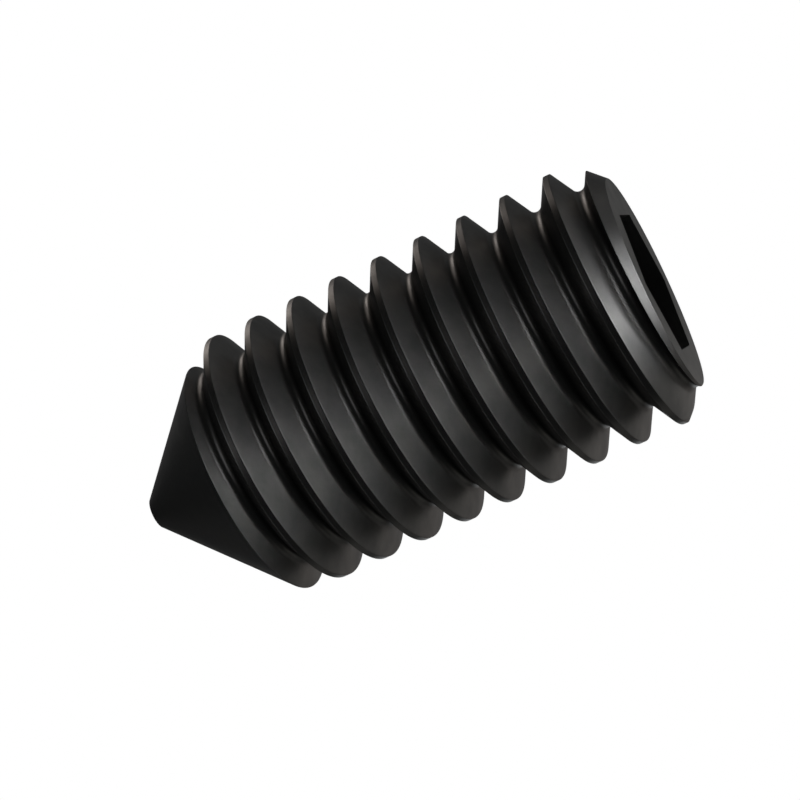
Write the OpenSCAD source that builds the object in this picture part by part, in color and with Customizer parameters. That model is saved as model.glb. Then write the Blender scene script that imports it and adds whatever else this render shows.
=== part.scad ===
// Hexagon socket set screw with a cone point, made from one piece of steel.
// It stands on its socket face at z = 0, with the screw axis on Z and the point upward.
// All sizes are in millimetres and degrees.

/* [Body] */
// Overall length, from the socket face to the end of the point
screw_len = 12; // [8:0.5:20]
// Diameter over the thread crests
crest_d = 5.88; // [5.4:0.02:6.6]
// Angle of the socket end's chamfer, measured from the end face
chamfer_angle = 45; // [35:1:60]

/* [Thread] */
// Axial distance from one crest to the next
pitch = 1; // [0.7:0.05:1.3]
// Included angle between the two flanks
flank_angle = 60; // [55:1:65]
// Width of the flat left on the crest
crest_flat = 0.13; // [0.09:0.01:0.2]
// Radius of the rounded root
root_r = 0.16; // [0.12:0.01:0.22]
// Direction in which the crest meets the socket face, counted from a socket corner
thread_start = 110; // [0:5:355]
// Flats round one turn of the thread
turn_steps = 48; // [24:4:60]
// Flats across the rounded root
root_steps = 4; // [2:1:6]

/* [Point] */
// Included angle of the cone
point_angle = 90; // [80:1:110]
// Diameter of the small flat on the end of the cone
point_d = 0.7; // [0.3:0.1:1.6]

/* [Socket] */
// Width across the flats of the socket
socket_af = 3.02; // [2.5:0.02:3.4]
// Depth of the six-sided part of the socket
socket_depth = 3.5; // [2:0.1:5]
// Included angle of the drilled hole's end, below the six-sided part
drill_angle = 120; // [100:2:140]

/* [Hidden] */
steel = [0.16, 0.16, 0.165];
$fn = 96;

crest_r = crest_d / 2;
half_flank = flank_angle / 2;
// How far below the crest the flanks would meet if the root weren't rounded
sharp_depth = (pitch - crest_flat) / 2 / tan(half_flank);
// Radius of the circle on which the centre of the root's arc runs
root_centre_r = crest_r - sharp_depth + root_r / sin(half_flank);
thread_r = root_centre_r - root_r;
chamfer_len = (crest_r - thread_r) * tan(chamfer_angle);
point_len = (crest_r - point_d / 2) / tan(point_angle / 2);

// The thread is first made with its ridges a little too high, and the body's outline turns them down
ridge_flat = crest_flat / 2;
ridge_r = crest_r + (crest_flat - ridge_flat) / 2 / tan(half_flank);
// Spare thread past each end face, in turns
spare_turns = 2;
thread_turns = ceil(screw_len / pitch) + 2 * spare_turns;
spare = 0.5;

// Drilled holes stay inside the six flats
drill_r = socket_af / 2 * 0.97;
drill_tip = drill_r / tan(drill_angle / 2);

// One pitch of the thread as [height above the crest's middle, radius], from this ridge to the next
root_sweep = 90 - half_flank;
thread_profile = concat(
    [[ridge_flat / 2, ridge_r]],
    [for (k = [0 : root_steps])
        let (a = root_sweep * (2 * k / root_steps - 1))
        [pitch / 2 + root_r * sin(a), root_centre_r - root_r * cos(a)]],
    [[pitch - ridge_flat / 2, ridge_r]]
);
profile_n = len(thread_profile);

// A threaded rod, longer than the screw at both ends: the profile climbs one pitch in each turn
module threaded_rod() {
    rows = thread_turns * turn_steps;
    low_z = -spare_turns * pitch;
    high_z = low_z + rows / turn_steps * pitch + pitch;
    points = concat(
        [for (i = [0 : rows], p = thread_profile)
            let (a = thread_start + 360 * i / turn_steps)
            [p[1] * cos(a), p[1] * sin(a), low_z + pitch * i / turn_steps + p[0]]],
        [[0, 0, low_z], [0, 0, high_z]]
    );
    low_end = len(points) - 2;
    high_end = len(points) - 1;
    last = profile_n - 1;
    function at(i, k) = i * profile_n + k;

    groove = [for (i = [0 : rows - 1], k = [0 : last - 1])
        each [[at(i, k), at(i + 1, k + 1), at(i + 1, k)], [at(i, k), at(i, k + 1), at(i + 1, k + 1)]]];
    ridge = [for (i = [0 : rows - turn_steps - 1])
        let (j = i + turn_steps)
        each [[at(i, last), at(j + 1, 0), at(i + 1, last)], [at(i, last), at(j, 0), at(j + 1, 0)]]];
    low_cap = [for (i = [0 : turn_steps - 1]) [low_end, at(i, 0), at(i + 1, 0)]];
    high_cap = [for (i = [rows - turn_steps : rows - 1]) [high_end, at(i + 1, last), at(i, last)]];
    low_step = concat([low_end, at(turn_steps, 0)], [for (k = [last : -1 : 0]) at(0, k)]);
    high_step = concat([high_end, at(rows - turn_steps, last)], [for (k = [0 : last]) at(rows, k)]);

    polyhedron(points, concat(groove, ridge, low_cap, high_cap, [low_step, high_step]), convexity = 12);
}

// The outline that the blank is turned to: chamfered socket end, straight body and cone point
module turned_blank() {
    rotate_extrude()
        polygon([
            [0, 0],
            [thread_r, 0],
            [crest_r, chamfer_len],
            [crest_r, screw_len - point_len],
            [point_d / 2, screw_len],
            [0, screw_len]
        ]);
}

// Six-sided socket, with the end of the drilled hole that it was broached from
module socket() {
    translate([0, 0, -spare])
        cylinder(h = spare + socket_depth, r = socket_af / 2 / cos(30), $fn = 6);
    translate([0, 0, socket_depth - spare])
        cylinder(h = spare, r = drill_r);
    translate([0, 0, socket_depth])
        cylinder(h = drill_tip, r1 = drill_r, r2 = 0);
}

module set_screw() {
    color(steel)
        difference() {
            intersection() {
                threaded_rod();
                turned_blank();
            }
            socket();
        }
}

set_screw();
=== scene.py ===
"""Looks of a black hexagon socket set screw with a cone point.

The screw stands on its socket end in the row frame: axis on Z, socket face at z = 0, point up.
Lengths in the screw's own sections are in millimetres and become metres when the mesh is made.
"""

import math

import bmesh
import bpy
import numpy as np
from mathutils import Matrix, Vector


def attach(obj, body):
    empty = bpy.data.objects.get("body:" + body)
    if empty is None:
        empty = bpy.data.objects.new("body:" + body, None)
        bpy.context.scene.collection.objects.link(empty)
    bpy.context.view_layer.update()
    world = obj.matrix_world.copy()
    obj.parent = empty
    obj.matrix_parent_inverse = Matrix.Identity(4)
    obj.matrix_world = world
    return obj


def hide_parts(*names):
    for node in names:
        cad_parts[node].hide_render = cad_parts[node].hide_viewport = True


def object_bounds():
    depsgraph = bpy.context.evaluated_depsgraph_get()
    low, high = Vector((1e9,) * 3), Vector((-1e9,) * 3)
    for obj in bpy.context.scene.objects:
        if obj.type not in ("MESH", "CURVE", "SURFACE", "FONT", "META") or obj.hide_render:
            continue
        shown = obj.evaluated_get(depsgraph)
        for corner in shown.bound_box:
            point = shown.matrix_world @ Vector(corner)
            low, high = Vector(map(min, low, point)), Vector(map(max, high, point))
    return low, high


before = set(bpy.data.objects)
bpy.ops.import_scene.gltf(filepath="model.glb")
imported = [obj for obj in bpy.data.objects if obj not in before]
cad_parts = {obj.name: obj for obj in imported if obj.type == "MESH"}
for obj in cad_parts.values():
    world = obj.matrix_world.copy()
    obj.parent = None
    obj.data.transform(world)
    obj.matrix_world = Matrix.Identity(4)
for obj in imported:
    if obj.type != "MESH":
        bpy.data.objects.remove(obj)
cad_low, cad_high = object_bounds()
scene = bpy.context.scene


# Camera: the photograph looks at the socket end from a little below, with the screw's axis
# tilted, so the camera stands under the floor's level and is rolled about its line of sight.
CAMERA_AZIMUTH = math.radians(58.88)
CAMERA_ELEVATION = math.radians(-13.364)
CAMERA_ROLL = math.radians(-114.996)
CAMERA_DISTANCE = 0.0482166
CAMERA_LENS = 101.94
CAMERA_ASIDE = Vector((0.0000164, 0.0000065, 0))
CAMERA_REACH = (0.001, 10)


def make_camera():
    """A long lens at the photograph's distance and tilt, aimed at the middle of the screw."""
    back = Vector(
        (
            math.cos(CAMERA_AZIMUTH) * math.cos(CAMERA_ELEVATION),
            math.sin(CAMERA_AZIMUTH) * math.cos(CAMERA_ELEVATION),
            math.sin(CAMERA_ELEVATION),
        )
    )
    data = bpy.data.cameras.new("camera")
    data.sensor_width = 36
    data.lens = CAMERA_LENS
    data.clip_start, data.clip_end = CAMERA_REACH
    camera = bpy.data.objects.new("camera", data)
    turn = (-back).to_track_quat("-Z", "Y").to_matrix() @ Matrix.Rotation(CAMERA_ROLL, 3, "Z")
    middle = (cad_low + cad_high) / 2
    place = middle + back * CAMERA_DISTANCE + turn @ CAMERA_ASIDE
    camera.matrix_world = Matrix.Translation(place) @ turn.to_4x4()
    scene.collection.objects.link(camera)
    scene.camera = camera


make_camera()


# Set screw: one piece of steel, cold formed with a broached hexagon socket, thread rolled,
# cone point turned, then blackened. The mesh follows the thread's helix row by row.
CREST_R = 2.94
SCREW_LEN = 12.0
PITCH = 1.0
HALF_FLANK = math.radians(30)
CREST_FLAT = 0.13
ROOT_R = 0.16
THREAD_START = 110.0
POINT_R = 0.35
SOCKET_AF = 3.02
SOCKET_DEPTH = 3.5
DRILL_R = SOCKET_AF / 2 * 0.97
DRILL_TIP = DRILL_R / math.tan(math.radians(60))
# width of the rounding on the edges, and distance of the mesh lines that hold flats flat
EDGE = 0.006
HOLD = 0.02
# rows of points in one turn, points across the round root, samples that look for a groove
TURN_ROWS = 192
ROOT_COLUMNS = 11
GROOVE_SAMPLES = 700
# a groove shallower than a hair's breadth isn't one, so the crest itself doesn't count as groove
HAIR = 1e-5
SHARP_ANGLE = math.radians(38)
METRES_PER_MM = 0.001
# points of neighbouring grids that lie this close, in metres, are one point
WELD_REACH = 2e-7

sharp_depth = (PITCH - CREST_FLAT) / 2 / math.tan(HALF_FLANK)
root_centre_r = CREST_R - sharp_depth + ROOT_R / math.sin(HALF_FLANK)
thread_r = root_centre_r - ROOT_R
chamfer_top = CREST_R - thread_r
cone_base = SCREW_LEN - (CREST_R - POINT_R)
arc_half = ROOT_R * math.cos(HALF_FLANK)


def ramp(x):
    """Zero below zero and x above it, with the corner between them rounded over one edge width."""
    e = EDGE / 2
    return np.where(x < -e, 0, np.where(x > e, x, (x + e) ** 2 / (4 * e)))


def blank_radius(z):
    """Radius of the turned blank at height z: 45 degree chamfer, straight body, 45 degree cone."""
    return CREST_R - ramp(chamfer_top - z) - ramp(z - cone_base)


def thread_radius(w):
    """Radius of the thread's groove at distance w above its ridge: two flanks and a round root."""
    x = np.abs(w - PITCH / 2)
    arc = root_centre_r - np.sqrt(np.maximum(ROOT_R**2 - x**2, 0))
    flank = CREST_R - (PITCH / 2 - CREST_FLAT / 2 - x) / math.tan(HALF_FLANK)
    return np.where(x < arc_half, arc, flank)


def groove_span(ridge_z):
    """Lowest and highest point of the groove above each ridge height: where it leaves the blank.
    A groove that has run out on the chamfer or the cone gives two equal heights."""
    w = np.linspace(CREST_FLAT / 2, PITCH - CREST_FLAT / 2, GROOVE_SAMPLES)
    depth = blank_radius(ridge_z[:, None] + w) - thread_radius(w)
    depth -= HAIR
    row = np.arange(len(ridge_z))
    first = np.argmax(depth > 0, axis=1)
    last = len(w) - 1 - np.argmax(depth[:, ::-1] > 0, axis=1)
    deepest = np.argmax(depth, axis=1)
    cut = depth.max(axis=1) > 0

    def crossing(i, j):
        """Where the depth passes zero between the samples i and j, by a straight line."""
        a, b = depth[row, i], depth[row, j]
        t = np.where(a == b, 0, a / np.where(a == b, 1, a - b))
        return w[i] + t * (w[j] - w[i])

    low = crossing(np.maximum(first - 1, 0), first)
    high = crossing(np.minimum(last + 1, len(w) - 1), last)
    low = np.where(cut, low, w[deepest])
    high = np.where(cut, high, w[deepest])
    return ridge_z + low, ridge_z + high, cut


def rounded(a, corner, b, steps=4):
    """Points of a quadratic curve from a to b that leans on the corner, one column per step."""
    t = np.linspace(0, 1, steps + 1)[1:-1]
    return [(1 - s) ** 2 * a + 2 * s * (1 - s) * corner + s**2 * b for s in t]


def section_points(theta, z, r):
    """Grid of points from columns of heights and radii, one row for each angle."""
    z, r = np.stack(z, axis=1), np.stack(r, axis=1)
    return np.stack([r * np.cos(theta)[:, None], r * np.sin(theta)[:, None], z], axis=-1)


def groove_strip(rows, ridge_z, low, high):
    """The groove row by row: rounded edge, flank, round root, flank, rounded edge."""
    room = high - low
    along = np.minimum(EDGE, room * 0.3)
    # the lower rounding shrinks near the socket face, so it stays above it
    along_low = np.minimum(along, low / 2)
    support = np.minimum(HOLD, room * 0.1)
    start, end = low + along_low / 2, high - along / 2
    root = ridge_z + PITCH / 2
    sweep = np.linspace(-1, 1, ROOT_COLUMNS) * (math.pi / 2 - HALF_FLANK)
    arc = [root + ROOT_R * math.sin(a) for a in sweep]
    bends = [root - arc_half - HOLD, *arc, root + arc_half + HOLD]
    bends = [np.clip(z, start + support, end - support) for z in bends]
    inner = [start, start + support, *bends, end - support, end]
    inner_r = [thread_radius(z - ridge_z) for z in inner]
    a, b = low - along_low, high + along
    corner_a, corner_b = blank_radius(low), blank_radius(high)
    z = [a, *rounded(a, low, start), *inner, *rounded(end, high, b), b]
    r = [
        blank_radius(a),
        *rounded(blank_radius(a), corner_a, inner_r[0]),
        *inner_r,
        *rounded(inner_r[-1], corner_b, blank_radius(b)),
        blank_radius(b),
    ]
    return section_points(rows * 2 * math.pi / TURN_ROWS, z, r), a, b


def blank_strip(rows, low, high):
    """A band of the blank's own surface between two heights, with columns held at its creases."""
    support = np.minimum(HOLD, (high - low) * 0.2)
    spread = (-1, -0.5, -0.25, 0, 0.25, 0.5, 1)
    creases = [c + EDGE * k for c in (chamfer_top, cone_base) for k in spread]
    z = [low, low + support]
    z += [np.clip(np.full_like(low, c), low + support, high - support) for c in creases]
    z += [high - support, high]
    return section_points(rows * 2 * math.pi / TURN_ROWS, z, [blank_radius(c) for c in z])


def hexagon_radius(theta, half_width):
    """Distance from the axis to a hexagon with a corner at angle zero."""
    sixth = math.pi / 3
    return half_width / np.cos(np.mod(theta, sixth) - sixth / 2)


def screw_grids():
    """All surfaces of the screw as grids of points that share their edges: the groove, the crest,
    the ring below it, the cone above it, the end face with the socket, and the point's flat."""
    # two turns below the face and one above the point, of which the rows that cut are kept
    every = np.arange(-2 * TURN_ROWS, 13 * TURN_ROWS)
    ridge_z = PITCH * (every / TURN_ROWS - THREAD_START / 360)
    low, high, cut = groove_span(ridge_z)
    first, last = np.flatnonzero(cut)[[0, -1]] + np.array([-1, 1])
    rows, ridge_z, low, high = (v[first : last + 1] for v in (every, ridge_z, low, high))
    groove, a, b = groove_strip(rows, ridge_z, low, high)

    # the crest between one turn of the groove and the next, and its start and end on the blank
    crest_rows = np.arange(rows[0], rows[-1] + TURN_ROWS + 1)
    under = np.concatenate([np.minimum(a[0], a[:TURN_ROWS]), b])
    over = np.concatenate([a, np.maximum(b[-1], b[-TURN_ROWS:])])
    under = np.minimum(under, over)
    crest = blank_strip(crest_rows, under, over)

    # full rings below the first turn and above the last
    ring_rows = crest_rows[: TURN_ROWS + 1]
    ring_top = np.append(under[:TURN_ROWS], under[0])
    rim = np.minimum(EDGE / 2, ring_top * 0.4)
    low_ring = blank_strip(ring_rows, rim, ring_top)
    cone_rows = crest_rows[-TURN_ROWS - 1 :]
    cone_low = np.append(over[-1], over[-TURN_ROWS:])
    tip_z = np.full(TURN_ROWS + 1, SCREW_LEN - EDGE / 2)
    cone = blank_strip(cone_rows, cone_low, tip_z)

    # end face with its rounded rim, then the socket's mouth, walls, floor and drilled end
    theta = ring_rows * 2 * math.pi / TURN_ROWS
    zero = np.zeros_like(rim)
    face_r = blank_radius(zero)
    lip = EDGE / 2
    z = [rim, *rounded(rim, zero, zero), zero, zero, zero, zero, zero]
    r = [
        blank_radius(rim),
        *rounded(blank_radius(rim), face_r, face_r - rim),
        face_r - rim,
        face_r - rim - HOLD,
        hexagon_radius(theta, SOCKET_AF / 2 + lip + 2 * HOLD),
        hexagon_radius(theta, SOCKET_AF / 2 + lip + HOLD),
        hexagon_radius(theta, SOCKET_AF / 2 + lip),
    ]
    mouth, wall = (hexagon_radius(theta, SOCKET_AF / 2 + d) for d in (lip, 0))
    z += [*rounded(zero, zero, zero + lip), zero + lip]
    r += [*rounded(mouth, wall, wall), wall]
    z += [zero + h for h in (lip + HOLD, SOCKET_DEPTH - HOLD, SOCKET_DEPTH)]
    r += [wall, wall, wall]
    z += [zero + h for h in (SOCKET_DEPTH, SOCKET_DEPTH, SOCKET_DEPTH + DRILL_TIP)]
    r += [(wall + DRILL_R) / 2, zero + DRILL_R, zero]
    face = section_points(theta, z, r)[:, ::-1]

    # small flat on the point
    theta = cone_rows * 2 * math.pi / TURN_ROWS
    top = zero + SCREW_LEN
    edge_r = blank_radius(tip_z)
    flat_r = zero + POINT_R - EDGE / 2
    z = [tip_z, *rounded(tip_z, top, top), top, top, top]
    r = [edge_r, *rounded(edge_r, zero + POINT_R, flat_r), flat_r, flat_r * 0.9, zero]
    tip = section_points(theta, z, r)
    return [groove, crest, low_ring, cone, face, tip]


def unrolled(grid):
    """Flat map of a grid in millimetres: the way round the screw along its rows, and the length
    of the section across its columns, each summed from the distances between the points."""
    across = np.linalg.norm(np.diff(grid, axis=1), axis=2).cumsum(axis=1)
    around = np.linalg.norm(np.diff(grid, axis=0), axis=2).max(axis=1).cumsum()
    flat = np.zeros(grid.shape[:2] + (2,))
    flat[1:, :, 0] = around[:, None]
    flat[:, 1:, 1] = across
    return flat


def mesh_from_grids(name, grids):
    """One closed smooth mesh: the grids' quads with their flat map, and shared points joined."""
    points, faces, flats, base = [], [], [], 0
    for grid in grids:
        rows, cols = grid.shape[:2]
        index = base + np.arange(rows * cols).reshape(rows, cols)
        quads = np.stack([index[:-1, :-1], index[1:, :-1], index[1:, 1:], index[:-1, 1:]], axis=-1)
        points.append(grid.reshape(-1, 3))
        faces.append(quads.reshape(-1, 4))
        flats.append(unrolled(grid).reshape(-1, 2))
        base += rows * cols
    faces = np.concatenate(faces)
    mesh = bpy.data.meshes.new(name)
    mesh.from_pydata(np.concatenate(points) * METRES_PER_MM, [], faces)
    uv = mesh.uv_layers.new(name="unrolled")
    uv.data.foreach_set("uv", np.concatenate(flats)[faces.ravel()].ravel())
    work = bmesh.new()
    work.from_mesh(mesh)
    bmesh.ops.remove_doubles(work, verts=work.verts, dist=WELD_REACH)
    work.to_mesh(mesh)
    work.free()
    mesh.shade_smooth()
    mesh.set_sharp_from_angle(angle=SHARP_ANGLE)
    return mesh


# clouds in the oxide, each under a millimetre wide, between a darker and a lighter tone
CLOUD_SCALE = 1300
CLOUD_FROM, CLOUD_TO = 0.35, 0.65
DARK_OXIDE = (0.222, 0.2225, 0.2235, 1)
LIGHT_OXIDE = (0.28, 0.278, 0.275, 1)
# the lighter clouds are a little smoother, and the oxide dulls reflections at a low angle
DARK_ROUGHNESS, LIGHT_ROUGHNESS = 0.37, 0.33
OXIDE_EDGE_TINT = (0.35, 0.35, 0.35, 1)
# lines left by the dies: long round the screw, 11 to a millimetre across, under a micron deep
LINE_SCALE = (0.05, 11, 1)
LINE_DEPTH = 0.0000008


def blackened_steel():
    """Black oxide on rolled steel: dark satin metal, faintly cloudy, with fine lines left by the
    rolling dies and the lathe that run round the screw."""
    material = bpy.data.materials.new("black_oxide")
    material.use_nodes = True
    nodes, links = material.node_tree.nodes, material.node_tree.links
    shader = nodes["Principled BSDF"]
    shader.inputs["Metallic"].default_value = 1
    shader.inputs["Specular Tint"].default_value = OXIDE_EDGE_TINT

    place = nodes.new("ShaderNodeTexCoord")
    clouds = nodes.new("ShaderNodeTexNoise")
    clouds.inputs["Scale"].default_value = CLOUD_SCALE
    clouds.inputs["Detail"].default_value = 4
    clouds.inputs["Roughness"].default_value = 0.6
    links.new(place.outputs["Object"], clouds.inputs["Vector"])
    tone = nodes.new("ShaderNodeValToRGB")
    dark, light = tone.color_ramp.elements
    dark.position, dark.color = CLOUD_FROM, DARK_OXIDE
    light.position, light.color = CLOUD_TO, LIGHT_OXIDE
    links.new(clouds.outputs["Fac"], tone.inputs["Fac"])
    links.new(tone.outputs["Color"], shader.inputs["Base Color"])
    gloss = nodes.new("ShaderNodeMapRange")
    gloss.inputs["From Min"].default_value = CLOUD_FROM
    gloss.inputs["From Max"].default_value = CLOUD_TO
    gloss.inputs["To Min"].default_value = DARK_ROUGHNESS
    gloss.inputs["To Max"].default_value = LIGHT_ROUGHNESS
    links.new(clouds.outputs["Fac"], gloss.inputs["Value"])
    links.new(gloss.outputs["Result"], shader.inputs["Roughness"])

    flat = nodes.new("ShaderNodeUVMap")
    flat.uv_map = "unrolled"
    stretch = nodes.new("ShaderNodeMapping")
    stretch.inputs["Scale"].default_value = LINE_SCALE
    lines = nodes.new("ShaderNodeTexNoise")
    lines.noise_dimensions = "2D"
    lines.inputs["Scale"].default_value = 1
    lines.inputs["Detail"].default_value = 2
    bump = nodes.new("ShaderNodeBump")
    bump.inputs["Distance"].default_value = LINE_DEPTH
    links.new(flat.outputs["UV"], stretch.inputs["Vector"])
    links.new(stretch.outputs["Vector"], lines.inputs["Vector"])
    links.new(lines.outputs["Fac"], bump.inputs["Height"])
    links.new(bump.outputs["Normal"], shader.inputs["Normal"])
    return material


screw = bpy.data.objects.new("screw", mesh_from_grids("screw", screw_grids()))
scene.collection.objects.link(screw)
screw.data.materials.append(blackened_steel())
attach(screw, "root")
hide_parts("set_screw")


# Studio: white surroundings for the camera, dim grey for the steel, and soft round lamps. The
# photograph's light comes mostly from beyond the socket end, which is below this standing screw.
WORLD_LIGHT = (0.0116, 0.0120, 0.0118)
LAMP_DISTANCE = 0.25
LAMPS = [
    # name, direction from the screw, half angle in radians, watts, colour, casts shadows
    ("socket_key_1", (-0.033, -0.14, -0.99), 0.2, 0.07125, (0.991, 0.995, 1), True),
    ("socket_key_2", (0.3, 0.1, -0.949), 0.2, 0.02067, (0.993, 0.993, 1), True),
    ("socket_key_3", (-0.201, 0.1, -0.974), 0.2, 0.02435, (0.986, 0.985, 1), True),
    ("wide_1", (0.061, -0.575, -0.816), 0.9, 0.06438, (1, 0.965, 0.906), True),
    ("wide_2", (-0.628, -0.744, 0.23), 0.7, 0.07368, (0.99, 1, 1), True),
    ("rim_1", (-0.9, -0.237, 0.365), 0.2, 0.05716, (1, 0.899, 0.823), True),
    ("rim_2", (-0.976, 0.09, 0.198), 0.2, 0.01283, (1, 0.877, 0.794), True),
    ("rim_3", (-0.186, -0.956, 0.225), 0.2, 0.02744, (0.955, 0.993, 1), True),
    ("rim_4", (0.472, -0.852, 0.225), 0.3, 0.00694, (1, 0.968, 0.904), True),
    ("point_light_1", (-0.247, 0.476, 0.844), 0.3, 0.01654, (0.923, 0.97, 1), True),
    ("point_light_2", (0.534, -0.195, 0.823), 0.3, 0.02852, (1, 0.987, 0.995), True),
    ("point_light_3", (0.1, 0.752, 0.652), 0.3, 0.02785, (1, 0.986, 0.987), True),
    ("back_light_1", (-0.333, -0.8, -0.5), 0.3, 0.01856, (1, 0.981, 0.944), True),
    ("fill_1", (-0.033, -0.14, -0.99), 0.2, 0.01084, (1, 1, 0.984), False),
    ("fill_2", (0.302, -0.302, -0.905), 0.3, 0.00859, (0.987, 1, 0.974), False),
    ("fill_3", (0, 0.301, -0.954), 0.3, 0.03102, (0.997, 1, 0.99), False),
    ("rim_5", (-0.188, -0.967, -0.174), 0.3, 0.01690, (1, 0.9, 0.841), True),
    ("rim_6", (-0.837, -0.224, -0.5), 0.3, 0.00525, (1, 0.971, 0.945), True),
    ("fill_4", (-0.602, -0.1, -0.792), 0.3, 0.00414, (0.998, 1, 0.986), False),
]


def make_world():
    """White behind the object for the camera, and a dim even light on the object."""
    world = bpy.data.worlds.new("studio")
    world.use_nodes = True
    nodes, links = world.node_tree.nodes, world.node_tree.links
    nodes.clear()
    seen = nodes.new("ShaderNodeBackground")
    seen.inputs["Color"].default_value = (1, 1, 1, 1)
    lit = nodes.new("ShaderNodeBackground")
    lit.inputs["Color"].default_value = (*WORLD_LIGHT, 1)
    path = nodes.new("ShaderNodeLightPath")
    mix = nodes.new("ShaderNodeMixShader")
    out = nodes.new("ShaderNodeOutputWorld")
    links.new(path.outputs["Is Camera Ray"], mix.inputs[0])
    links.new(lit.outputs[0], mix.inputs[1])
    links.new(seen.outputs[0], mix.inputs[2])
    links.new(mix.outputs[0], out.inputs[0])
    scene.world = world


def soft_lamp(name, toward, spread, watts, colour, shadow):
    """A round area lamp on a sphere about the screw, facing its middle, unseen by the camera."""
    data = bpy.data.lights.new(name, "AREA")
    data.shape = "DISK"
    data.size = 2 * LAMP_DISTANCE * math.tan(spread)
    data.energy = watts
    data.color = colour
    data.use_shadow = shadow
    data.cycles.use_multiple_importance_sampling = shadow
    lamp = bpy.data.objects.new(name, data)
    way = Vector(toward).normalized()
    turn = way.to_track_quat("Z", "Y").to_matrix().to_4x4()
    lamp.matrix_world = Matrix.Translation((cad_low + cad_high) / 2 + way * LAMP_DISTANCE) @ turn
    lamp.visible_camera = False
    scene.collection.objects.link(lamp)


FLOOR_HALF = 1.5
FLOOR_COLOUR = (0.86, 0.86, 0.86, 1)


def pale_floor():
    """A large plain floor under the socket end. It is one-sided: the photograph's camera stands
    below its level and looks through its back. It is seen by the camera alone, so it neither
    blocks nor throws back the light that reaches the screw."""
    mesh = bpy.data.meshes.new("floor")
    corners = [(x * FLOOR_HALF, y * FLOOR_HALF, 0) for x, y in ((-1, -1), (1, -1), (1, 1), (-1, 1))]
    mesh.from_pydata(corners, [], [(0, 1, 2, 3)])
    floor = bpy.data.objects.new("floor", mesh)
    scene.collection.objects.link(floor)
    material = bpy.data.materials.new("pale_floor")
    material.use_nodes = True
    nodes, links = material.node_tree.nodes, material.node_tree.links
    shader = nodes["Principled BSDF"]
    shader.inputs["Base Color"].default_value = FLOOR_COLOUR
    shader.inputs["Roughness"].default_value = 0.9
    shader.inputs["Specular IOR Level"].default_value = 0
    side = nodes.new("ShaderNodeNewGeometry")
    clear = nodes.new("ShaderNodeBsdfTransparent")
    mix = nodes.new("ShaderNodeMixShader")
    links.new(side.outputs["Backfacing"], mix.inputs[0])
    links.new(shader.outputs[0], mix.inputs[1])
    links.new(clear.outputs[0], mix.inputs[2])
    links.new(mix.outputs[0], nodes["Material Output"].inputs["Surface"])
    mesh.materials.append(material)
    for ray in ("diffuse", "glossy", "transmission", "volume_scatter", "shadow"):
        setattr(floor, "visible_" + ray, False)
    return floor


SUN_DIRECTION = (0.3, 0.2, 1)
SUN_WIDTH = math.radians(70)
SUN_STRENGTH = 3.8


def floor_sun(floor):
    """A wide overhead sun for the floor alone. It gives the floor the screw's soft shadow."""
    data = bpy.data.lights.new("floor_sun", "SUN")
    data.energy = SUN_STRENGTH
    data.angle = SUN_WIDTH
    sun = bpy.data.objects.new("floor_sun", data)
    sun.matrix_world = Vector(SUN_DIRECTION).to_track_quat("Z", "Y").to_matrix().to_4x4()
    scene.collection.objects.link(sun)
    only_floor = bpy.data.collections.new("lit_by_floor_sun")
    only_floor.objects.link(floor)
    sun.light_linking.receiver_collection = only_floor


make_world()
for lamp in LAMPS:
    soft_lamp(*lamp)
floor_sun(pale_floor())
scene.view_settings.view_transform = "Standard"
